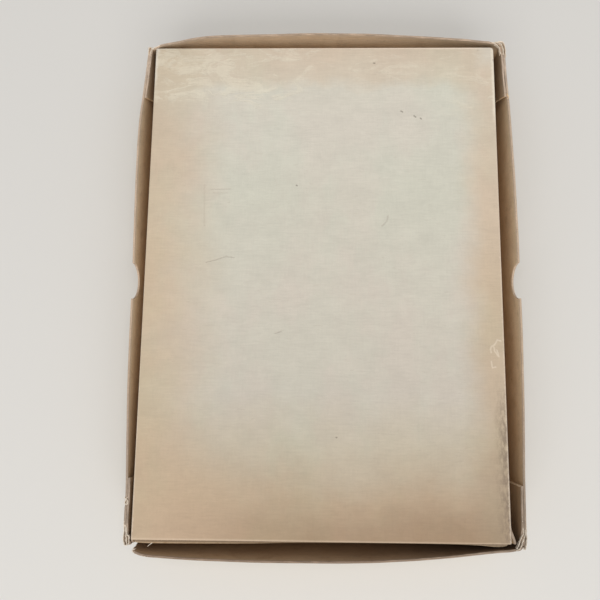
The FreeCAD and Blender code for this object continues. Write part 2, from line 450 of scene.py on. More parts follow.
def set_bump(tree, shader, height, strength, distance):
    made = node(tree, "ShaderNodeBump", {"Strength": strength, "Distance": distance * MM,
                                         "Height": height})
    tree.links.new(made.outputs[0], shader.inputs["Normal"])


def rgb(red, green, blue):
    """A colour given in display values from 0 to 255, as the linear values shaders use."""
    linear = []
    for channel in (red, green, blue):
        share = channel / 255
        linear.append(share / 12.92 if share <= 0.04045 else ((share + 0.055) / 1.055) ** 2.4)
    return (*linear, 1.0)


def apart(tree, place):
    """The three coordinates of a place."""
    return node(tree, "ShaderNodeSeparateXYZ", {0: place}).outputs


def wander(tree, place, scale, reach, shift):
    """A slow uneven offset of about plus or minus half the reach."""
    noisy = cloud(tree, stretch(tree, place, shift=(shift, -shift, 0)), scale, 4.0, 0.6)
    return times(tree, minus(tree, noisy, 0.5), reach)


def along_ramp(tree, value, stops):
    """A colour that changes along a run, given as (place, display colour) pairs."""
    low, high = stops[0][0], stops[-1][0]
    share = node(tree, "ShaderNodeMapRange", {"Value": value, "From Min": low, "From Max": high})
    made = node(tree, "ShaderNodeValToRGB", {0: share.outputs["Result"]})
    elements = made.color_ramp.elements
    elements[0].position, elements[0].color = 0.0, rgb(*stops[0][1])
    elements[1].position, elements[1].color = 1.0, rgb(*stops[-1][1])
    for place, colour in stops[1:-1]:
        elements.new((place - low) / (high - low)).color = rgb(*colour)
    return made.outputs[0]


def grey(tree, value):
    return node(tree, "ShaderNodeCombineColor", {0: value, 1: value, 2: value}).outputs[0]


def lines_mask(tree, place, paths, width):
    """All the segments of some paths as one mask."""
    total = None
    for path in paths:
        for start, stop in zip(path, path[1:]):
            mask = use_group(tree, FINE_LINE, {"Place": place, "From": (*start, 0),
                                               "To": (*stop, 0), "Width": width})["Mask"]
            total = mask if total is None else calc(tree, "MAXIMUM", total, mask)
    return total


# Ageing and painted shade of the tray's face from front to back, down its middle and along its two
# long edges: the tan is the paper's own, and the darkening towards the front is partly painted
# shade.
MIDDLE_AGE_AND_SHADE = [(-153, (158, 135, 110)), (-143, (167, 145, 121)), (-130, (180, 161, 137)),
              (-116, (186, 173, 152)), (-96, (192, 184, 166)), (-68, (199, 193, 181)),
              (-9, (206, 200, 188)), (53, (208, 205, 192)), (101, (212, 208, 196)),
              (122, (213, 210, 197)), (131, (211, 201, 183)), (153, (211, 196, 176))]
LEFT_AGE_AND_SHADE = [(-153, (190, 168, 143)), (-130, (192, 172, 146)), (-96, (195, 175, 150)),
            (-68, (198, 182, 158)), (-9, (203, 184, 159)), (53, (206, 189, 166)),
            (101, (206, 187, 166)), (125, (208, 192, 171)), (153, (206, 190, 168))]
RIGHT_AGE_AND_SHADE = [(-153, (162, 143, 120)), (-143, (166, 147, 124)), (-116, (177, 158, 136)),
             (-96, (186, 170, 146)), (-68, (193, 177, 155)), (-9, (200, 183, 159)),
             (53, (209, 193, 172)), (101, (211, 197, 178)), (153, (212, 196, 177))]
GREENISH = (0.992, 1.008, 0.998, 1)  # the two casts that the face drifts between
PINKISH = (1.014, 0.99, 0.99, 1)
# Marks on the tray's face, in plan.
PEELED_LINE = [[(104.5, -35.3), (102.5, -34.9), (100.8, -38.0), (98.9, -38.8), (98.4, -40.6),
                (98.7, -42.4)],
               [(100.3, -38.8), (100.9, -41.7), (103.1, -44.7), (102.7, -42.8), (102.1, -40.9)],
               [(98.6, -47.7), (99.1, -51.3), (101.0, -50.9)]]
SPECKS = [[(30.1, 141.4), (31.0, 141.3)], [(47.2, 109.1), (48.2, 108.5)],
          [(55.4, 105.8), (56.4, 105.2)], [(59.4, 104.3), (59.9, 103.9)],
          [(7.0, -92.9), (7.3, -93.0)], [(-18.0, 60.0), (-17.6, 59.8)]]
CREASES = [[(-72.6, 11.0), (-66.5, 12.6), (-60.5, 14.8), (-55.6, 13.9)],
           [(38.5, 41.0), (37.6, 37.5), (34.8, 34.5)], [(-29.5, -32.0), (-26.0, -31.0)]]
PRESSED_LINES = [[(-71.0, 57.3), (-59.2, 57.7)], [(-75.2, 60.5), (-74.4, 34.0)],
                 [(-69.4, 55.0), (-61.0, 55.2)]]


def make_tray_face():
    """Cream lining paper on the tray's panel, tanned from its edges, skinned and scuffed."""
    material, tree, shader, place = new_material("tray_face_paper", 0.72)
    x, y, z = apart(tree, place)
    fibre = use_group(tree, FIBRE, {"Place": place, "Coarseness": 0.35})
    from_left = minus(tree, x, tray_low.x)
    from_right = minus(tree, tray_high.x - 0.8, x)
    from_front = minus(tree, y, tray_low.y)
    from_back = minus(tree, tray_high.y - 0.3, y)

    # The ramps along y give the tan of age together with a painted shade that darkens the face
    # towards the front.
    age_and_light_y = plus(tree, y, wander(tree, place, 0.022, 34.0, 11))
    middle = along_ramp(tree, age_and_light_y, MIDDLE_AGE_AND_SHADE)
    left_x = plus(tree, from_left, wander(tree, place, 0.02, 34.0, 47))
    left_reach = fade(tree, y, -92.0, -140.0, 58.0, 125.0)
    left_share = fade(tree, left_x, left_reach, -2.0)
    colour = tint(tree, left_share, middle, along_ramp(tree, age_and_light_y, LEFT_AGE_AND_SHADE))
    right_x = plus(tree, from_right, wander(tree, place, 0.028, 22.0, 83))
    right_share = fade(tree, right_x, 30.0, 6.0)
    colour = tint(tree, right_share, colour, along_ramp(tree, age_and_light_y, RIGHT_AGE_AND_SHADE))

    # A slow drift between a greenish and a pinkish cast.
    cast = fade(tree, cloud(tree, stretch(tree, place, (1.2, 0.7, 1)), 0.016, 5.0, 0.62), 0.4, 0.6)
    colour = glaze(tree, colour, tint(tree, cast, GREENISH, PINKISH))

    # Skinned patches at the back left, and thinly along the rest of the back edge.
    at_left = times(tree, fade(tree, x, 15.0, -30.0), fade(tree, y, 104.0, 120.0))
    at_back = times(tree, fade(tree, y, 118.0, 136.0), 0.72)
    at_right = times(tree, fade(tree, x, 60.0, 95.0), fade(tree, y, 88.0, 112.0))
    at_right = times(tree, at_right, 0.75)
    zone = calc(tree, "MAXIMUM", calc(tree, "MAXIMUM", at_left, at_back), at_right)
    peel = use_group(tree, PEEL, {"Place": place, "Zone": zone})
    colour = stain(tree, colour, peel["Mask"], 0.46, rgb(229, 221, 202))
    # The curled rims of the skinned patches are painted paler as a painted highlight.
    colour = stain(tree, colour, peel["Curl"], 0.16, rgb(240, 232, 214))

    # Grey dirt handled into the right-hand edge towards the front.
    dirt = times(tree, fade(tree, from_right, 9.5, 0.8), fade(tree, y, -52.0, -85.0))
    dirt_spots = cloud(tree, stretch(tree, place, (0.5, 0.2, 0.3)), 1.0, 5.0, 0.7)
    dirt_spots = fade(tree, dirt_spots, 0.36, 0.62)
    dirt = times(tree, times(tree, dirt, dirt_spots), 0.72)
    colour = tint(tree, dirt, colour, rgb(126, 110, 97))

    colour = glaze(tree, colour, grey(tree, by_tone(tree, fibre, 0.945, 1.045)))
    mottle = stretch(tree, place, (0.09, 0.15, 0.1), shift=(3, 9, 0))
    mottle = cloud(tree, mottle, 1.0, 5.0, 0.68, 0.7)
    colour = glaze(tree, colour, grey(tree, fade(tree, mottle, 0.32, 0.68, 0.978, 1.022)))
    colour = stain(tree, colour, fibre["Wrinkle"], 0.2, rgb(150, 138, 122))

    # Paler paper where the folds have rubbed, most at the two back corners; the bright lines along
    # the back edge and the back of the right edge are partly wear and partly painted highlight.
    nearest = calc(tree, "MINIMUM", calc(tree, "MINIMUM", from_left, from_right),
                   calc(tree, "MINIMUM", from_front, from_back))
    ragged = times_plus(tree, cloud(tree, place, 0.6, 5.0, 0.7), 2.2, -1.1)
    beside = calc(tree, "MINIMUM", from_left, from_right)
    worn = fade(tree, plus(tree, beside, ragged), 1.3, 0.2)
    colour = stain(tree, colour, worn, 0.55, rgb(232, 216, 198))
    # Partly wear, partly a painted highlight along the back edge.
    back_line = fade(tree, times_plus(tree, ragged, 0.45, from_back), 1.5, 0.5)
    colour = stain(tree, colour, back_line, 0.8, rgb(246, 228, 208))
    back_right = calc(tree, "MAXIMUM", from_right, times(tree, from_back, 0.8))
    rubbed = fade(tree, plus(tree, back_right, times(tree, ragged, 3.0)), 15.0, 3.0)
    colour = stain(tree, colour, rubbed, 0.7, rgb(217, 210, 197))
    # Partly wear, partly a painted highlight along the right edge towards the back.
    bright_edge = times(tree, fade(tree, plus(tree, from_right, ragged), 2.6, 0.9),
                        fade(tree, y, 96.0, 112.0))
    colour = stain(tree, colour, bright_edge, 0.75, rgb(240, 230, 212))
    back_left = calc(tree, "MAXIMUM", from_left, from_back)
    frayed = fade(tree, plus(tree, back_left, times(tree, ragged, 1.4)), 5.0, 2.0)
    colour = stain(tree, colour, frayed, 0.7, rgb(226, 218, 206))
    front_line = fade(tree, times_plus(tree, ragged, 0.3, from_front), 2.4, 1.0)
    colour = stain(tree, colour, front_line, 0.45, rgb(222, 202, 178))
    strip = times(tree, fade(tree, plus(tree, from_left, ragged), 3.4, 1.6),
                  fade(tree, y, 120.0, 134.0))
    colour = stain(tree, colour, strip, 0.8, rgb(228, 220, 206))
    chips = times(tree, fade(tree, cloud(tree, place, 0.45, 4.0, 0.7), 0.6, 0.68),
                  fade(tree, back_right, 34.0, 4.0))
    chips = times(tree, chips, fade(tree, nearest, 3.2, 0.4))
    colour = stain(tree, colour, chips, 0.6, rgb(128, 112, 96))

    white_line = lines_mask(tree, place, PEELED_LINE, 0.75)
    colour = stain(tree, colour, white_line, 0.42, rgb(236, 222, 203))
    specks = lines_mask(tree, place, SPECKS, 0.7)
    colour = stain(tree, colour, specks, 0.6, rgb(112, 102, 90))
    creases = lines_mask(tree, place, CREASES, 0.55)
    colour = stain(tree, colour, creases, 0.2, rgb(150, 132, 116))
    pressed = lines_mask(tree, place, PRESSED_LINES, 0.6)
    colour = stain(tree, colour, pressed, 0.1, rgb(160, 138, 122))
    tree.links.new(colour, shader.inputs["Base Color"])

    height = times_plus(tree, peel["Curl"], 1.1, fibre["Height"])
    height = times_plus(tree, peel["Mask"], -0.7, height)
    height = times_plus(tree, fibre["Wrinkle"], -0.5, height)
    height = times_plus(tree, creases, -1.2, height)
    height = times_plus(tree, pressed, -0.8, height)
    height = times_plus(tree, white_line, 0.8, height)
    set_bump(tree, shader, height, 0.5, 0.3)
    rough = fade(tree, fibre["Tone"], 0.38, 0.62, 0.66, 0.8)
    tree.links.new(times_plus(tree, peel["Mask"], 0.1, rough), shader.inputs["Roughness"])
    return material


# Painted shade of the lid's inner faces, as colour multipliers: along its long walls from the
# front, and along its short ones from the left.
LONG_SHADE = [(-155, (150, 142, 134)), (-145, (162, 149, 140)), (-130, (172, 160, 148)),
              (-120, (178, 166, 154)), (-117.6, (214, 206, 196)), (-100, (224, 216, 208)),
              (-60, (247, 243, 238)), (0, (255, 255, 255)), (60, (255, 255, 255)),
              (105, (246, 246, 246)), (117, (234, 232, 228)), (120, (204, 200, 198)),
              (140, (192, 187, 184)), (152, (184, 180, 176))]
FRONT_SHADE = [(-112, (250, 250, 252)), (-60, (255, 255, 255)), (0, (250, 250, 252)),
               (40, (226, 224, 226)), (60, (200, 198, 200)), (90, (154, 150, 150)),
               (112, (158, 154, 152))]
BACK_SHADE = [(-112, (196, 192, 190)), (-80, (214, 208, 204)), (-30, (216, 208, 202)),
              (30, (206, 198, 192)), (80, (180, 174, 168)), (112, (172, 168, 164))]
# Painted shade of the tray's front wall just under its fold, from the left.
STRIP_SHADE = [(-110, (236, 222, 206)), (-60, (226, 212, 196)), (-25, (188, 174, 158)),
               (0, (158, 146, 132)), (55, (158, 146, 132)), (90, (232, 222, 210)),
               (110, (244, 236, 224))]


def painted_lid_shade(tree, place, from_rim):
    """Painted shade of the lid's inner faces, darker on the tabs, to the front and at the front
    right.
    """
    x, y, z = apart(tree, place)
    shade = along_ramp(tree, y, LONG_SHADE)
    # The painted shade is lightened deep down on the right wall.
    deep_right = times(tree, fade(tree, x, 80.0, 100.0),
                       fade(tree, from_rim, 6.0, 20.0, 0.0, 0.45))
    shade = tint(tree, times(tree, deep_right, fade(tree, y, 40.0, -60.0)), shade, WHITE)
    at_front = fade(tree, y, -(LID_Y - 3.0), -(LID_Y - 1.0))
    shade = tint(tree, at_front, shade, along_ramp(tree, x, FRONT_SHADE))
    at_back = fade(tree, y, LID_Y - 3.0, LID_Y - 1.0)
    plain = tint(tree, fade(tree, from_rim, 10.0, 2.0), WHITE, along_ramp(tree, x, BACK_SHADE))
    return tint(tree, at_back, shade, plain)


def fold_distance(tree, place, half_x, half_y, fold_z, shift_x):
    """Distance on a wall's outer face to its nearest fold, upright or level."""
    x, y, z = apart(tree, place)
    side_x = minus(tree, half_x, calc(tree, "ABSOLUTE", minus(tree, x, shift_x)))
    side_y = minus(tree, half_y, calc(tree, "ABSOLUTE", y))
    upright_fold = calc(tree, "MAXIMUM", side_x, side_y)
    level_fold = calc(tree, "ABSOLUTE", minus(tree, z, fold_z))
    return calc(tree, "MINIMUM", upright_fold, level_fold)


def painted_front_shade(tree, y, colour, share):
    """Painted shade: the front short wall is made darker than the others."""
    at_front = fade(tree, y, -(LID_Y - 6), -(LID_Y - 1), 0.0, share)
    return tint(tree, at_front, colour, glaze(tree, colour, (0.5, 0.43, 0.37, 1)))


def shade_under_fold(tree, place, colour):
    """Painted shade on the tray's front wall under its fold, and a painted shadow in the crease of
    the fold itself.
    """
    x, y, z = apart(tree, place)
    crease = times(tree, fade(tree, z, TRAY_TOP - 1.1, TRAY_TOP - 0.3),
                   fade(tree, y, -146.0, -150.0))
    uneven_z = plus(tree, z, wander(tree, place, 0.12, 9.0, 29))
    strip = times(tree, fade(tree, uneven_z, TRAY_TOP - 9.0, TRAY_TOP - 2.0),
                  fade(tree, y, -146.0, -150.0))
    colour = tint(tree, strip, colour, glaze(tree, colour, along_ramp(tree, x, STRIP_SHADE)))
    # The crease's dark colour is a painted shadow.
    return stain(tree, colour, crease, 0.6, rgb(74, 54, 40))


def make_board(name, colour_near, colour_far, rub_colour, wear, front_shade_share, folds=None,
               shade_painted=False, shaded_fold=False):
    """Buff board, paler and rubbed towards its upper edge and clouded lower down.

    The colours are those near the rim, far below it, and where it is rubbed; the fall from the
    near colour to the far one is partly painted shade of the deep gaps, most on the lid's inner
    board. The lid's inside also gets painted shade, and the tray's front wall a painted shade and
    shadow under its fold.
    """
    material, tree, shader, place = new_material(name, 0.8)
    x, y, z = apart(tree, place)
    fibre = use_group(tree, FIBRE, {"Place": place, "Coarseness": 0.7})
    from_rim = minus(tree, RIM, z)
    depth = plus(tree, from_rim, wander(tree, place, 0.05, 12.0, 5))
    # Darker far below the rim: partly painted shade of the deep gaps.
    colour = tint(tree, fade(tree, depth, 0.0, 24.0), colour_near, colour_far)
    blotch = fade(tree, cloud(tree, place, 0.11, 4.0, 0.65), 0.5, 0.75)
    colour = stain(tree, colour, blotch, 0.25, rgb(150, 112, 74))
    spots = fade(tree, cloud(tree, place, 0.35, 3.0, 0.6), 0.69, 0.76)
    colour = stain(tree, colour, spots, 0.3, rgb(104, 72, 44))
    rub = use_group(tree, SCUFF, {"Place": place, "Amount": wear})["Mask"]
    near_rim = fade(tree, from_rim, 7.0, 0.3)
    colour = stain(tree, colour, rub, 0.3, rub_colour)
    ragged = times_plus(tree, cloud(tree, place, 0.7, 4.0, 0.7), 0.9, near_rim)
    ragged = fade(tree, ragged, 1.1, 1.45)
    colour = stain(tree, colour, ragged, 0.5, rub_colour)
    colour = glaze(tree, colour, grey(tree, by_tone(tree, fibre, 0.9, 1.08)))
    # Painted shade towards the front short wall.
    colour = painted_front_shade(tree, y, colour, front_shade_share)
    if folds:
        crumbs = times_plus(tree, cloud(tree, place, 0.5, 5.0, 0.7), 7.0, -3.5)
        away = plus(tree, fold_distance(tree, place, *folds), crumbs)
        colour = tint(tree, fade(tree, away, 2.6, 0.2, 0.0, 0.6), colour, rub_colour)
    # Painted shade of the lid's inside, laid over the board's colour.
    if shade_painted:
        colour = glaze(tree, colour, painted_lid_shade(tree, place, from_rim))
    # Painted shade and shadow under the tray's front fold.
    if shaded_fold:
        colour = shade_under_fold(tree, place, colour)
    tree.links.new(colour, shader.inputs["Base Color"])
    set_bump(tree, shader, fibre["Height"], 0.6, 0.25)
    tree.links.new(by_tone(tree, fibre, 0.72, 0.88), shader.inputs["Roughness"])
    return material


def make_cut_edge(name, ageing_and_light, grime_colour, grime_share, streaked):
    """The pale pressed core of the board, seen on cut and torn edges, darker to the front and at
    the front right as painted shade.
    """
    material, tree, shader, place = new_material(name, 0.9)
    x, y, z = apart(tree, place)
    fibre = use_group(tree, FIBRE, {"Place": place, "Coarseness": 1.2})
    age_and_light_y = plus(tree, y, wander(tree, place, 0.15, 9.0, 17))
    # The ramp along y carries ageing together with painted shade and painted bounced light.
    colour = along_ramp(tree, age_and_light_y, ageing_and_light)
    grime = fade(tree, cloud(tree, place, 0.6, 5.0, 0.7), 0.52, 0.75)
    colour = tint(tree, times(tree, grime, grime_share), colour, grime_colour)
    # Painted shade: the cut edges are darkened towards the front right.
    front_right = times(tree, fade(tree, x, 20.0, 100.0), fade(tree, y, -50.0, -120.0))
    colour = tint(tree, front_right, colour, glaze(tree, colour, (0.9, 0.9, 0.9, 1)))

    # Streaks where the plies have parted: along the long walls, then along the short ones.
    lengthwise = cloud(tree, stretch(tree, place, (2.4, 0.14, 0.5)), 1.0, 3.0, 0.6)
    crosswise = cloud(tree, stretch(tree, place, (0.14, 2.4, 0.5)), 1.0, 3.0, 0.6)
    corner_y = calc(tree, "ABSOLUTE", y)
    on_short = fade(tree, corner_y, LID_Y - 2.5, LID_Y)
    streak = times_plus(tree, minus(tree, crosswise, lengthwise), on_short, lengthwise)
    parted = fade(tree, corner_y, 110.0, 128.0, 0.4 * streaked, streaked)
    streak = times_plus(tree, fade(tree, streak, 0.4, 0.62, -0.4, 0.35), parted, 1.0)
    colour = glaze(tree, colour, grey(tree, streak))
    colour = glaze(tree, colour, grey(tree, by_tone(tree, fibre, 0.88, 1.08)))
    tree.links.new(colour, shader.inputs["Base Color"])
    set_bump(tree, shader, fibre["Height"], 0.9, 0.3)
    tree.links.new(by_tone(tree, fibre, 0.82, 0.95), shader.inputs["Roughness"])
    return material


LID_FOLDS = (LID_X, LID_Y, 0.0, 0.0)
TRAY_FOLDS = (TRAY_HALF_X, TRAY_HALF_Y, TRAY_TOP, TRAY_X)
# Ageing and painted light of cut and of torn edges from front to back: the cut edges darken
# towards the front as painted shade, and the torn paper's warm tones near the tab ends stand in
# for warm light bounced into the gaps.
CUT_AGE_AND_SHADE = [(-164, (146, 126, 109)), (-157, (160, 140, 122)), (-150, (172, 154, 137)),
           (-120, (172, 154, 137)), (-90, (180, 159, 141)), (-50, (198, 175, 152)),
           (20, (206, 183, 160)), (75, (204, 182, 160)), (105, (196, 174, 152)),
           (140, (204, 184, 165)), (152, (198, 176, 155)), (164, (192, 168, 146))]
TORN_AGE_AND_BOUNCE = [(-164, (228, 214, 198)), (-152, (230, 218, 202)), (-128, (236, 222, 204)),
            (-116, (250, 222, 184)), (100, (240, 212, 172)), (118, (236, 204, 162)),
            (138, (244, 228, 206)), (164, (244, 230, 212))]

TRAY_FACE = make_tray_face()
LID_OUTSIDE = make_board("lid_outer_paper", rgb(214, 197, 168), rgb(204, 184, 153),
                         rgb(232, 221, 200), 0.7, 0.15, LID_FOLDS)
LID_INSIDE = make_board("lid_inner_board", rgb(238, 214, 182), rgb(206, 172, 134),
                        rgb(236, 220, 196), 0.3, 1.0, shade_painted=True)
TRAY_OUTSIDE = make_board("tray_side_paper", rgb(212, 194, 166), rgb(204, 182, 150),
                          rgb(230, 218, 198), 0.6, 0.7, TRAY_FOLDS, shaded_fold=True)
TRAY_INSIDE = make_board("tray_inner_board", rgb(208, 182, 146), rgb(200, 168, 130),
                         rgb(224, 204, 176), 0.25, 0.3)
CUT_EDGE = make_cut_edge("board_cut_edge", CUT_AGE_AND_SHADE, rgb(140, 114, 88), 0.35, 0.55)
TORN_PAPER = make_cut_edge("torn_paper", TORN_AGE_AND_BOUNCE, rgb(136, 112, 88), 0.22, 0.25)

LID_FINISH = (LID_OUTSIDE, LID_INSIDE, CUT_EDGE, TORN_PAPER)
TRAY_FINISH = (TRAY_OUTSIDE, TRAY_INSIDE, CUT_EDGE)
PLY_FINISH = (TORN_PAPER, TORN_PAPER, TORN_PAPER)


# ---------------------------------------------------------------- the lid

LID_DEPTHS = [0.0, 0.1, 0.25, 0.5, 0.9, 1.6, 3.0, 5.0, 7.5, 10.5, 14.0, 18.0, 22.5, 27.0,
              31.5, 36.0, 40.0, 42.5, 43.8, 44.4, LID_WALL]
COLUMN_PITCH = 2.2                   # between the columns of a short or long wall
RIM_ROWS = 3                         # rows of faces that have the finish of the cut edge
WORN_CORNER = 3.0                    # radius worn onto the upper corners of a long wall
TAB_CORNER = 2.6                     # from a short wall's outer face to where its tab lies flat
CORNER_X = (-111.0, 110.5)           # where a short wall's face is taken for its tabs' folds
TAB_LENGTH = 37.0
TAB_INSET = BOARD + GLUE + BOARD / 2  # from a long wall's outer face to the middle of its tab
BEND_ROOM = 1.9                      # run of a short wall that its bend takes up
TEAR_DEPTH = 25.0                    # depth at which the tear at the front left corner stops
TAPER_DEPTH = 22.0                   # depth over which the cut end of a tab slants
SETTLED_DEPTH = 8.0                  # depth over which the wear of a rim fades out


def upright(depth):
    """Share of the rim's bow that a lid wall has at a depth below its rim."""
    return 1 - depth / LID_WALL


def left_face(y, depth):
    """Outer face of the lid's left wall."""
    return -(LID_X + along(LEFT_RIM, y) * upright(depth))


def right_face(y, depth):
    """Outer face of the lid's right wall."""
    return LID_X + along(RIGHT_RIM, y) * upright(depth)


def back_face(x, depth):
    """Outer face of the lid's back wall."""
    return LID_Y + along(BACK_RIM, x) * upright(depth)


def front_face(x, depth):
    """Outer face of the lid's front wall."""
    return -(LID_Y + along(FRONT_RIM, x) * upright(depth))


def settled(x, y, place, depth, seed):
    """Height of a point of a lid wall, its rim hollowed by handling and crushed at the corners."""
    drop = max(0.16 + 0.14 * ripple(place, seed, 14) + 0.07 * ripple(place, seed + 5, 2.5), 0.1)
    for crushed_x, crushed_y, reach, deep in CRUSHED:
        away = math.hypot(x - crushed_x, y - crushed_y)
        drop += deep * (1 - ease(away, 0.45 * reach, reach))
    return RIM - depth - drop * ease(SETTLED_DEPTH - depth, 0, SETTLED_DEPTH)


def notch_distance(y, depth):
    return math.hypot(y, depth) - NOTCH


def notch_columns():
    """Columns across a long wall, gathered round the thumb notch."""
    across = [NOTCH * math.sin(math.radians(angle)) for angle in range(-90, 91, 6)]
    beside = [NOTCH + step for step in EDGE_STEPS[1:]]
    far = steps(-LID_Y, LID_Y, COLUMN_PITCH)
    outside = [y for y in far if abs(y) > beside[-1] + 0.5]
    return sorted(outside + across + beside + [-y for y in beside])


def lid_long_side(name, node_name, columns, face, outward, rack, seed):
    """A long wall of the lid with its thumb notch and worn corners."""
    def depth_at(y, depth):
        mouth = 0.0
        from_end = LID_Y - abs(y)
        if abs(y) < NOTCH:
            mouth = math.sqrt(NOTCH ** 2 - y ** 2)
        elif from_end < WORN_CORNER:
            mouth = WORN_CORNER - math.sqrt(WORN_CORNER ** 2 - (WORN_CORNER - from_end) ** 2)
        return mouth + depth * (LID_WALL - mouth) / LID_WALL

    def place(y, depth):
        deep = depth_at(y, depth)
        lean = upright(deep)
        x = face(y, deep) - outward * BOARD / 2
        x += 0.12 * ripple(y, seed + 2, 30) * lean
        y_racked = y + rack * lean
        return (x, y_racked, settled(x, y_racked, y, deep, seed))

    def fullness(y, depth):
        deep = depth_at(y, depth)
        return cut_edge(min(deep, LID_Y - abs(y), max(notch_distance(y, deep), 0.0)))

    piece = sheet_of_board(name, columns, LID_DEPTHS, place, fullness, LID_FINISH,
                           rim_rows=RIM_ROWS)
    return finish_piece(piece, "lid", [node_name])


def bend(start, stop, share):
    """A point on the round of a fold between two straight runs that meet square."""
    corner = Vector((start[0], stop[1]))
    start, stop = Vector(start), Vector(stop)
    return start * (1 - share) ** 2 + corner * 2 * share * (1 - share) + stop * share ** 2


BEND_SHARES = [0.0, 0.15, 0.3, 0.45, 0.6, 0.75, 0.9, 1.0]
CROWDED = 4                          # close-set stations of a tab that its bend replaces


def shares(pitch, length):
    """Shares from 0 to 1 along a run, close together at both ends."""
    return [place / length for place in steps(0.0, length, pitch)]


def path_stations(wall_length, both_tabs=True):
    """Stations of a short wall's sheet: tab, bend, wall, bend, tab, as (run, share)."""
    tab = shares(COLUMN_PITCH, TAB_LENGTH)
    stations = [("tab_before", share) for share in tab[:-CROWDED]]
    stations += [("bend_before", share) for share in BEND_SHARES[:-1]]
    stations += [("wall", share) for share in shares(COLUMN_PITCH, wall_length)]
    if both_tabs:
        stations += [("bend_after", share) for share in BEND_SHARES[1:]]
        stations += [("tab_after", share) for share in tab[CROWDED:]]
    return stations


def sheet_point(station, tab_at, tab_ends, tab_folds, wall_at, wall_ends):
    """A point in plan of a short wall's sheet: on a tab, round its bend or on the wall.

    tab_at(side, y) and wall_at(x) are points of the sheet, whose path begins at side 0 and stops
    at side 1. The pairs hold, for each side, the y of the tab's cut end, the y of its fold and
    the x of the wall's end.
    """
    run, share = station
    if run == "wall":
        return wall_at(blend_between(*wall_ends, share))
    side = 0 if run.endswith("before") else 1
    if side == 1:
        share = 1 - share
    if run.startswith("tab"):
        return tab_at(side, blend_between(tab_ends[side], tab_folds[side], share))
    return bend(tab_at(side, tab_folds[side]), wall_at(wall_ends[side]), share)


def from_cut_end(station):
    """Distance of a station from the cut end of its tab, and a tab's length off the tabs."""
    run, share = station
    if run == "tab_after":
        share = 1 - share
    return share * TAB_LENGTH if run.startswith("tab") else TAB_LENGTH


def lid_tab_at(right, y, depth):
    """A point in plan of the middle of a lid tab, inside the left or the right long wall."""
    if right:
        return right_face(y, depth) - TAB_INSET, y
    return left_face(y, depth) + TAB_INSET, y


def lid_back_sheet():
    """The back wall with both its tabs, one sheet folded round the corners."""
    def place(station, depth):
        lean = upright(depth)
        cut = LID_Y - BOARD - TAB_LENGTH + 0.33 * min(depth, TAPER_DEPTH)
        folds = [back_face(x, depth) - TAB_CORNER for x in CORNER_X]
        wall_ends = (lid_tab_at(False, folds[0], depth)[0] + BEND_ROOM,
                     lid_tab_at(True, folds[1], depth)[0] - BEND_ROOM)
        x, y = sheet_point(station, lambda side, y: lid_tab_at(side == 1, y, depth),
                           (cut + 0.8 * lean, cut + 2.7 * lean), folds,
                           lambda x: (x, back_face(x, depth) - BOARD / 2), wall_ends)
        if station[0] == "wall":
            y += 0.1 * ripple(x, 31, 24) * lean
        return (x, y, settled(x, y, x, depth, 41))

    def fullness(station, depth):
        return cut_edge(min(depth, from_cut_end(station)))

    piece = sheet_of_board("lid_back_wall_sheet", path_stations(2 * LID_X), LID_DEPTHS, place,
                           fullness, LID_FINISH, rim_rows=RIM_ROWS, worn_start=3, worn_stop=3)
    return finish_piece(piece, "lid",
                        ["lid_back_wall", "lid_back_left_tab", "lid_back_right_tab"])


def lid_front_sheet():
    """The front wall and its right tab; the left end is torn from its corner."""
    def place(station, depth):
        lean = upright(depth)
        fold = front_face(CORNER_X[1], depth) + TAB_CORNER
        cut = -(LID_Y - BOARD - TAB_LENGTH) - 2.6 + 0.02 * depth
        torn = ease(TEAR_DEPTH - depth, 0, 4)
        ragged = 0.5 * ripple(depth, 61, 2.6) + 0.25 * ripple(depth, 62, 0.9)
        wall_ends = (lid_tab_at(True, fold, depth)[0] - BEND_ROOM,
                     -(LID_X - BOARD - 0.3) + torn * (blend_between(1.4, 2.9, lean) + ragged))
        x, y = sheet_point(station, lambda side, y: lid_tab_at(True, y, depth), (cut, None),
                           (fold, None), lambda x: (x, front_face(x, depth) + BOARD / 2),
                           wall_ends)
        if station[0] == "wall":
            y += 0.1 * ripple(x, 33, 24) * lean
        return (x, y, settled(x, y, x, depth, 43))

    def fullness(station, depth):
        run, share = station
        end = (1 - share) * 2 * LID_X if run == "wall" else from_cut_end(station)
        return cut_edge(min(depth, end))

    piece = sheet_of_board("lid_front_wall_sheet", path_stations(2 * LID_X, both_tabs=False),
                           LID_DEPTHS, place, fullness, LID_FINISH, rim_rows=RIM_ROWS,
                           worn_start=4, worn_stop=2)
    return finish_piece(piece, "lid", ["lid_front_wall", "lid_front_right_tab"])


def lid_torn_tab():
    """The front wall's left tab, still glued to the left wall, with a torn corner."""
    corner_y = -(LID_Y - 0.9)

    def place(share, depth):
        lean = upright(depth)
        end_y = -(LID_Y - BOARD - TAB_LENGTH)
        end_y += RACK_LEFT * lean - 0.05 * min(depth, TAPER_DEPTH)
        ragged = 0.3 * ripple(depth, 71, 2.2) * ease(TEAR_DEPTH - depth, 0, 4)
        y = blend_between(corner_y + ragged + RACK_LEFT * lean, end_y, share)
        x = left_face(y, depth) + TAB_INSET + 0.7 * ease(corner_y + 3 - y, 0, 3)
        return (x, y, settled(x, y, y, depth, 45))

    def fullness(share, depth):
        return cut_edge(min(depth, share * TAB_LENGTH, (1 - share) * TAB_LENGTH))

    piece = sheet_of_board("lid_front_left_tab_torn", shares(1.6, TAB_LENGTH), LID_DEPTHS,
                           place, fullness, LID_FINISH, rim_rows=RIM_ROWS)
    return finish_piece(piece, "lid", ["lid_front_left_tab"])


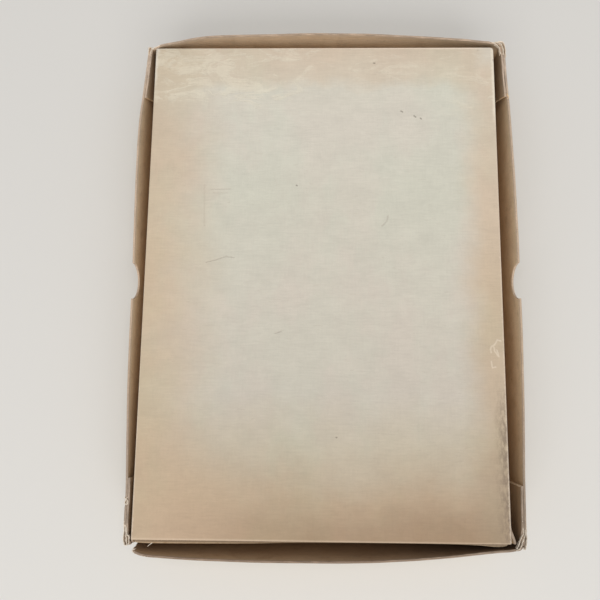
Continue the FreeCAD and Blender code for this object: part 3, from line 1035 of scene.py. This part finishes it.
def folded_slab(name, low, high, fold_faces_up, corner_rounds, materials):
    """A flat panel: a block with rounded folds on its outer face, finely divided."""
    start_piece()
    bpy.ops.mesh.primitive_cube_add(size=1, location=tuple((low + high) / 2 * MM))
    piece = bpy.context.object
    piece.name = name
    piece.scale = (high - low) * MM
    bpy.ops.object.transform_apply(location=True, rotation=True, scale=True)
    for material in materials:
        piece.data.materials.append(material)
    mesh = piece.data
    for (corner_x, corner_y), radius in corner_rounds.items():
        bpy.ops.object.mode_set(mode="EDIT")
        bpy.ops.mesh.select_all(action="DESELECT")
        bpy.ops.object.mode_set(mode="OBJECT")
        target = Vector((high.x if corner_x > 0 else low.x, high.y if corner_y > 0 else low.y))
        for edge in mesh.edges:
            ends = [mesh.vertices[index].co / MM for index in edge.vertices]
            edge.select = all((end.to_2d() - target).length < 0.01 for end in ends)
        bpy.ops.object.mode_set(mode="EDIT")
        bpy.ops.mesh.select_mode(type="EDGE")
        bpy.ops.mesh.bevel(offset=radius * MM, segments=5, affect="EDGES")
        bpy.ops.object.mode_set(mode="OBJECT")
    level = high.z if fold_faces_up else low.z
    for edge in mesh.edges:
        ends = [mesh.vertices[index].co.z / MM for index in edge.vertices]
        edge.select = all(abs(end - level) < 0.01 for end in ends)
    bpy.ops.object.mode_set(mode="EDIT")
    bpy.ops.mesh.select_mode(type="EDGE")
    bpy.ops.mesh.bevel(offset=0.75 * MM, segments=4, affect="EDGES")
    for axis, start, stop in ((0, low.x, high.x), (1, low.y, high.y)):
        normal = [0, 0, 0]
        normal[axis] = 1
        for place in steps(start, stop, 6.0)[6:-6]:
            point = [0, 0, 0]
            point[axis] = place * MM
            bpy.ops.mesh.select_all(action="SELECT")
            bpy.ops.mesh.bisect(plane_co=point, plane_no=normal)
    bpy.ops.object.mode_set(mode="OBJECT")
    return piece


def lid_floor():
    """The lid's flat face, on which the box lies."""
    piece = folded_slab("lid_face_panel", lid_low, lid_high, False,
                        {(-1, -1): 0.6, (1, -1): 0.6, (-1, 1): 0.6, (1, 1): 0.6},
                        (LID_OUTSIDE, LID_INSIDE))
    for face in piece.data.polygons:
        face.material_index = 1 if face.normal.z > 0.7 else 0
    return finish_piece(piece, "lid", ["lid_panel"])


# ---------------------------------------------------------------- frayed corners

PLY = 0.62                           # thickness of one ply of delaminated board
PLY_SMOOTH_ANGLE = 60

# Delaminated plies: name, plan of the ply in millimetres, how deep it stands below the rim, how
# far its own edge stays below the rim.
CORNER_PLIES = [
    ("back_left_outer", [(-114.4, 146.5), (-114.4, 150.0), (-114.3, 151.7), (-113.5, 152.3),
                         (-112.5, 151.6), (-112.6, 150.0)], 3.0, 0.1),
    ("back_left_middle", [(-113.3, 146.0), (-113.0, 148.6), (-112.3, 150.5), (-110.8, 151.7),
                          (-108.6, 152.7), (-106.4, 153.5)], 3.0, 0.05),
    ("back_right_inner", [(105.6, 155.8), (107.4, 155.4), (109.0, 154.5), (110.3, 152.5),
                          (110.8, 150.5), (111.0, 148.0)], 3.0, 0.05),
    ("back_right_middle", [(107.6, 156.2), (109.3, 156.0), (111.2, 155.3), (112.3, 153.3),
                           (112.7, 150.9), (112.8, 147.4)], 3.0, 0.05),
    ("back_right_outer", [(109.6, 156.5), (111.3, 156.4), (113.0, 155.9), (114.0, 153.6),
                          (114.3, 150.2), (114.2, 146.0)], 3.2, 0.1),
    ("right_knot", [(114.0, 121.2), (114.9, 119.9), (115.1, 118.7), (114.4, 117.6)], 2.6, 0.02),
    ("front_right_outer", [(115.1, -137.5), (115.4, -144.3), (115.3, -150.3), (114.8, -152.5),
                           (114.0, -154.0), (113.2, -153.0)], 3.4, 0.05),
    ("front_right_middle", [(114.5, -137.0), (114.8, -143.2), (114.3, -147.2), (113.1, -149.3),
                            (112.4, -151.4), (111.4, -153.7), (109.2, -154.6)], 3.2, 0.05),
    ("front_right_inner", [(113.1, -136.0), (113.5, -142.1), (113.6, -145.8), (112.5, -147.4),
                           (111.5, -149.2), (111.0, -151.4), (109.4, -153.7)], 3.0, 0.1),
    ("front_left_outer", [(-114.9, -141.5), (-114.8, -148.6), (-114.9, -151.9), (-114.0, -154.6),
                          (-112.8, -154.5), (-113.3, -151.6)], 3.4, 0.05),
    ("front_left_middle", [(-114.2, -140.0), (-113.9, -146.0), (-113.4, -149.8), (-112.8, -152.8)],
     3.2, 0.15),
    ("front_left_inner", [(-113.2, -144.5), (-112.8, -149.6), (-112.0, -149.8), (-111.7, -152.0),
                          (-112.0, -154.4)], 3.2, 0.0),
    ("left_knot_one", [(-113.5, -128.2), (-114.5, -129.9), (-114.9, -131.6), (-113.9, -132.2),
                       (-114.0, -130.6)], 2.4, 0.0),
    ("left_knot_two", [(-115.3, -128.4), (-114.5, -129.3), (-113.5, -130.8), (-113.3, -132.4)],
     2.4, 0.1),
    ("front_torn_tip", [(-100.0, -161.0), (-102.0, -160.7), (-104.5, -160.2), (-107.0, -159.5),
                        (-108.9, -158.6), (-109.2, -157.4), (-107.8, -156.8)], 3.5, 0.0),
]
TRAY_TEAR = [(-98.4, -153.2), (-99.8, -154.5), (-101.2, -155.7)]


def path_through(points, pitch):
    """Evenly spaced points on a smooth curve through given points in plan."""
    runs = [0.0]
    for start, stop in zip(points, points[1:]):
        runs.append(runs[-1] + math.dist(start, stop))
    across = [(run, point[0]) for run, point in zip(runs, points)]
    up = [(run, point[1]) for run, point in zip(runs, points)]
    count = max(int(runs[-1] / pitch), 4)
    places = [runs[-1] * index / count for index in range(count + 1)]
    return [Vector((along(across, place), along(up, place))) for place in places], runs[-1]


def frayed_ply(name, points, deep, lower, seed, body="lid"):
    """One ply of board, split from the rim and standing on edge along a curve."""
    curve, length = path_through(points, 0.35)
    depths = [deep * share for share in (0.0, 0.03, 0.07, 0.13, 0.22, 0.35, 0.5, 0.7, 0.85, 1.0)]
    last = len(curve) - 1

    def place(index, depth):
        before, after = curve[max(index - 1, 0)], curve[min(index + 1, last)]
        way = (after - before).normalized()
        side = Vector((way.y, -way.x))
        run = length * index / last
        share = depth / deep
        sway = 0.16 * ripple(run, seed, 2.2) + 0.1 * ripple(depth + run * 0.3, seed + 4, 1.6)
        point = curve[index] + side * sway
        ragged = 0.35 * abs(ripple(run, seed + 8, 1.3)) * (1 - share)
        hang = 0.8 * ripple(run, seed + 11, 2.0) * share
        return (point.x, point.y, RIM - lower - 0.06 - ragged - depth + hang)

    def fullness(index, depth):
        run = length * index / last
        torn = 0.75 + 0.25 * ripple(run, seed + 15, 0.8)
        return max(min(cut_edge(min(depth, deep - depth, run, length - run)) * torn, 1.0), 0.15)

    piece = sheet_of_board("frayed_" + name, list(range(len(curve))), depths, place, fullness,
                           PLY_FINISH, PLY)
    return finish_piece(piece, body, [], PLY_SMOOTH_ANGLE)


# ---------------------------------------------------------------- the tray

TRAY_DEPTHS = [0.0, 0.3, 0.7, 1.2, 1.8, 2.6, 4.0, 6.0, 9.0, 13.0, 18.0, 24.0, 30.0, 36.0,
               40.0, 41.5, 42.2, 42.6, 42.85, 43.0, TRAY_WALL]
TRAY_SEAM = 0.05                     # between the tray's panel and the top of its walls
TRAY_BEND_ROOM = 1.0                 # run of a short wall of the tray that its bend takes up
TRAY_TAB_CORNER = 2.0                # from its outer face to where its tab lies flat
FLAP_LENGTH = 10.0                   # torn stretch of fold at the tray's front right corner
FLAP_SPLAY = 2.7
PUSHED_END = 2.2                     # how far the left wall's front end has been pushed forward


def tray_bottom_edge(depth):
    return cut_edge(TRAY_WALL - depth)


def under_fold(depth):
    """Share of its greatest push outward that a wall of the tray has at a depth under its fold."""
    return ease(depth, -1.0, 2.4) * ease(15 - depth, 0, 12)


def tray_long_side(name, node_name, outward, columns):
    """A long wall of the tray."""
    def place(y, depth):
        x = TRAY_X + outward * (TRAY_HALF_X - BOARD / 2)
        x += outward * 0.15 * math.exp(-((depth - 1.5) / 3.0) ** 2)
        if outward > 0:
            splay = ease(-y, TRAY_HALF_Y - FLAP_LENGTH, TRAY_HALF_Y)
            x += FLAP_SPLAY * splay * ease(10 - depth, 0, 10)
        else:
            pushed = ease(-y, TRAY_HALF_Y - 9, TRAY_HALF_Y)
            y -= PUSHED_END * pushed * under_fold(depth)
        return (*out_of_square(x, y), TRAY_TOP - TRAY_SEAM - depth)

    def fullness(y, depth):
        return min(tray_bottom_edge(depth), cut_edge(TRAY_HALF_Y - abs(y)))

    piece = sheet_of_board(name, columns, TRAY_DEPTHS, place, fullness, TRAY_FINISH)
    return finish_piece(piece, "tray", [node_name])


def tray_short_sheet(name, outward, nodes):
    """A short wall of the tray with both its tabs, folded inside the long walls."""
    fold_y = outward * TRAY_HALF_Y
    tab_end = fold_y - outward * (BOARD + TAB_LENGTH)
    tab_x = TRAY_HALF_X - TAB_INSET
    signs = (-outward, outward)      # of x at the two ends of the sheet's path
    wall_ends = [TRAY_X + sign * (tab_x - TRAY_BEND_ROOM) for sign in signs]

    def swell(x, depth):
        if outward > 0:
            return 0.2 * math.exp(-((depth - 1.5) / 3.0) ** 2)
        return along(TRAY_FRONT_SWELL, x - TRAY_X) * under_fold(depth)

    def place(station, depth):
        folds = [fold_y + outward * (swell(x, depth) - TRAY_TAB_CORNER) for x in wall_ends]
        x, y = sheet_point(station, lambda side, y: (TRAY_X + signs[side] * tab_x, y),
                           (tab_end, tab_end), folds,
                           lambda x: (x, fold_y + outward * (swell(x, depth) - BOARD / 2)),
                           wall_ends)
        return (*out_of_square(x, y), TRAY_TOP - TRAY_SEAM - depth)

    def fullness(station, depth):
        return min(tray_bottom_edge(depth), cut_edge(from_cut_end(station)))

    piece = sheet_of_board(name, path_stations(2 * TRAY_HALF_X), TRAY_DEPTHS, place, fullness,
                           TRAY_FINISH)
    return finish_piece(piece, "tray", nodes)


def tray_top():
    """The tray's panel: its outer face is the large cream surface."""
    piece = folded_slab("tray_face_panel", tray_low, tray_high, True,
                        {(-1, -1): 0.5, (1, -1): 0.9, (-1, 1): 0.5, (1, 1): 2.2},
                        (TRAY_FACE, TRAY_INSIDE))
    for vertex in piece.data.vertices:
        place = vertex.co / MM
        dip = 0.16 + 0.16 * noise.noise(Vector((place.x / 60, place.y / 75, 3.0)))
        inside = ease(min(place.x - tray_low.x, tray_high.x - place.x,
                          place.y - tray_low.y, tray_high.y - place.y), 0.0, 25.0)
        vertex.co.z -= max(dip * (0.3 + 0.7 * inside), 0.0) * MM
        x, y = out_of_square(place.x, place.y)
        vertex.co.x, vertex.co.y = x * MM, y * MM
    for face in piece.data.polygons:
        face.material_index = 1 if face.normal.z < -0.7 else 0
    return finish_piece(piece, "tray", ["tray_panel"])


# ---------------------------------------------------------------- put together

lid_floor()
LEFT_COLUMNS = notch_columns()
lid_long_side("lid_left_side", "lid_left_wall", LEFT_COLUMNS, left_face, -1, RACK_LEFT, 3)
lid_long_side("lid_right_side", "lid_right_wall", list(reversed(LEFT_COLUMNS)), right_face, 1,
              RACK_RIGHT, 9)
lid_back_sheet()
lid_front_sheet()
lid_torn_tab()
for count, (ply_name, plan, deep, lower) in enumerate(CORNER_PLIES):
    frayed_ply(ply_name, plan, deep, lower, 100 + 20 * count)
frayed_ply("tray_fold", TRAY_TEAR, 3.0, 2.3, 600, "tray")
tray_top()
TRAY_COLUMNS = steps(-TRAY_HALF_Y, TRAY_HALF_Y, 3.0)
tray_long_side("tray_left_side", "tray_left_wall", -1, TRAY_COLUMNS)
tray_long_side("tray_right_side", "tray_right_wall", 1, list(reversed(TRAY_COLUMNS)))
tray_short_sheet("tray_back_wall_sheet", 1,
                 ["tray_back_wall", "tray_back_left_tab", "tray_back_right_tab"])
tray_short_sheet("tray_front_wall_sheet", -1,
                 ["tray_front_wall", "tray_front_left_tab", "tray_front_right_tab"])


# ---------------------------------------------------------------- floor, light and camera

def make_floor():
    start_piece()
    bpy.ops.mesh.primitive_plane_add(size=6, location=(0, 0, 0))
    floor = bpy.context.object
    floor.name = "floor"
    material, tree, shader, place = new_material("pale_floor", 0.9)
    shader.inputs["Base Color"].default_value = (0.72, 0.71, 0.69, 1)
    floor.data.materials.append(material)


def add_light(name, place, aim, size, power, colour):
    data = bpy.data.lights.new(name, "AREA")
    data.shape = "RECTANGLE"
    data.size, data.size_y = size
    data.energy = power
    data.color = colour
    light = bpy.data.objects.new(name, data)
    bpy.context.scene.collection.objects.link(light)
    light.location = place
    light.rotation_euler = (Vector(aim) - Vector(place)).to_track_quat("-Z", "Y").to_euler()


def make_studio():
    world = bpy.data.worlds.new("soft_room")
    bpy.context.scene.world = world
    world.use_nodes = True
    background = world.node_tree.nodes["Background"]
    background.inputs["Color"].default_value = (1.0, 0.985, 0.965, 1)
    background.inputs["Strength"].default_value = 0.47
    add_light("overhead", (0.0, 0.05, 2.2), (0, 0, 0), (1.4, 1.0), 15.0, (1.0, 0.99, 0.97))
    add_light("front_window", (0.0, -1.3, 1.1), (0, 0.1, 0), (1.8, 1.0), 13.5, (1.0, 0.98, 0.95))
    scene = bpy.context.scene
    scene.view_settings.view_transform = "Standard"


def make_camera():
    data = bpy.data.cameras.new("camera")
    data.lens = 39.6
    data.sensor_width = 36
    data.clip_start = 0.01
    camera = bpy.data.objects.new("camera", data)
    bpy.context.scene.collection.objects.link(camera)
    camera.location = (-0.0083, -0.0735, 0.439)
    camera.rotation_euler = (math.radians(8.91), math.radians(0.88), math.radians(0.64))
    bpy.context.scene.camera = camera


make_floor()
make_studio()
make_camera()
